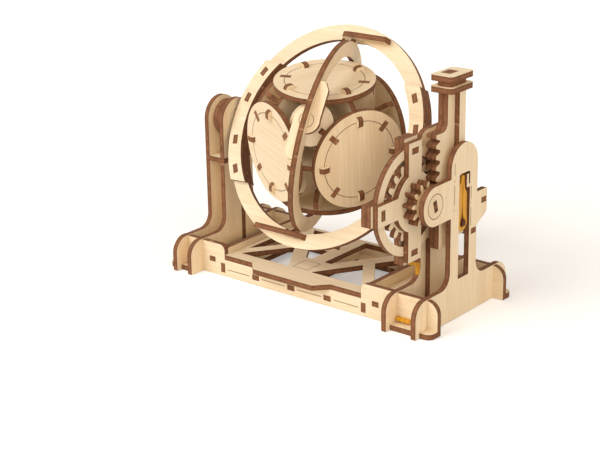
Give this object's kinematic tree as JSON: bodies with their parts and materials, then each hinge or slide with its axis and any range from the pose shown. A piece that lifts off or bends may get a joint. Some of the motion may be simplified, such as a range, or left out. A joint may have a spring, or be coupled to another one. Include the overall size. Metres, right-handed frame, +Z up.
{
  "type": "wooden gimbal toy",
  "caption": "Laser-cut plywood desk toy: pressing a sprung key drives a rack and gears that spin a ring, with a nested ring and a six-faced ball inside.",
  "frame": {"origin": "on the table, under the centre of the spinning rings", "axes": "+X along the frame towards the key and gears, -Y the front, +Z up"},
  "size_m": [0.1849, 0.113, 0.1415],
  "materials": {
    "birch_plywood": "bare laser-cut plywood with scorched edges",
    "rubber_band": "matte yellow rubber"
  },
  "bodies": {
    "frame": {"base_band": "rubber_band", "deck": "birch_plywood", "foot_shelves": "birch_plywood", "front_plate": "birch_plywood", "gearbox_cover": "birch_plywood", "gearbox_pegs": "birch_plywood", "gearbox_rim": "birch_plywood", "key_guide_bars": "birch_plywood", "key_guide_doubler": "birch_plywood", "left_crossbar": "birch_plywood", "left_end_rib": "birch_plywood", "left_inner_upright": "birch_plywood", "left_outer_upright": "birch_plywood", "left_tie": "birch_plywood", "left_web": "birch_plywood", "lower_frame": "birch_plywood", "rear_plate": "birch_plywood", "return_band": "rubber_band", "right_end_rib": "birch_plywood", "right_inner_upright": "birch_plywood", "right_outer_upright": "birch_plywood", "right_tie": "birch_plywood"},
    "key": {"key_rack_inner": "birch_plywood", "key_rack_outer": "birch_plywood", "key_rib": "birch_plywood", "key_peg": "birch_plywood", "key_cap_bottom": "birch_plywood", "key_cap_middle": "birch_plywood", "key_cap_top": "birch_plywood"},
    "drive_gear": {"drive_gear_inner": "birch_plywood", "drive_gear_outer": "birch_plywood"},
    "gear_shaft": {"big_gear": "birch_plywood", "gear_shaft": "birch_plywood", "shaft_discs": "birch_plywood"},
    "outer_ring": {"ring_core": "birch_plywood", "ring_cheeks_left": "birch_plywood", "ring_cheeks_right": "birch_plywood", "ring_pegs": "birch_plywood", "ring_lug_top": "birch_plywood", "ring_lug_bottom": "birch_plywood", "journal_discs": "birch_plywood", "ring_retainers": "birch_plywood", "ring_pinion": "birch_plywood"},
    "inner_ring": {"inner_ring": "birch_plywood", "ball_lug_front": "birch_plywood", "ball_lug_rear": "birch_plywood", "pivot_bushes": "birch_plywood"},
    "ball": {"ball_core_a": "birch_plywood", "ball_core_b": "birch_plywood", "ball_core_c": "birch_plywood", "ball_corner_plates": "birch_plywood", "ball_disc_a_back": "birch_plywood", "ball_disc_a_out": "birch_plywood", "ball_disc_b_back": "birch_plywood", "ball_disc_b_out": "birch_plywood", "ball_disc_c_back": "birch_plywood", "ball_disc_c_out": "birch_plywood", "ball_pivots": "birch_plywood", "ball_ribs": "birch_plywood"}
  },
  "joints": [
    {"name": "key_slide", "type": "slide", "parent": "frame", "child": "key", "axis": [0, 0, -1], "range_m": [0, 0.025], "stiffness_N_per_m": 40, "springref_m": -0.012, "deforming": ["return_band"]},
    {"name": "drive_gear_turn", "type": "hinge", "parent": "frame", "child": "drive_gear", "pos_m": [0.08, -0.0266, 0.06848], "axis": [-1, 0, 0], "range_deg": [0, 141]},
    {"name": "ring_spin", "type": "hinge", "parent": "frame", "child": "outer_ring", "pos_m": [0, 0, 0.08401], "axis": [1, 0, 0], "continuous": true},
    {"name": "gear_shaft_turn", "type": "hinge", "parent": "frame", "child": "gear_shaft", "pos_m": [0.08, -0.0266, 0.06848], "axis": [1, 0, 0], "continuous": true},
    {"name": "inner_ring_spin", "type": "hinge", "parent": "outer_ring", "child": "inner_ring", "pos_m": [0, 0, 0.08401], "axis": [0, 0.4726, 0.8813], "continuous": true},
    {"name": "ball_spin", "type": "hinge", "parent": "inner_ring", "child": "ball", "pos_m": [0, 0, 0.08401], "axis": [0.3762, -0.8166, 0.4378], "continuous": true}
  ],
  "couplings": [
    {"joint": "drive_gear_turn", "follows": "key_slide", "rad_per_m": 98.28},
    {"joint": "gear_shaft_turn", "follows": "ring_spin", "ratio": -0.55556}
  ]
}
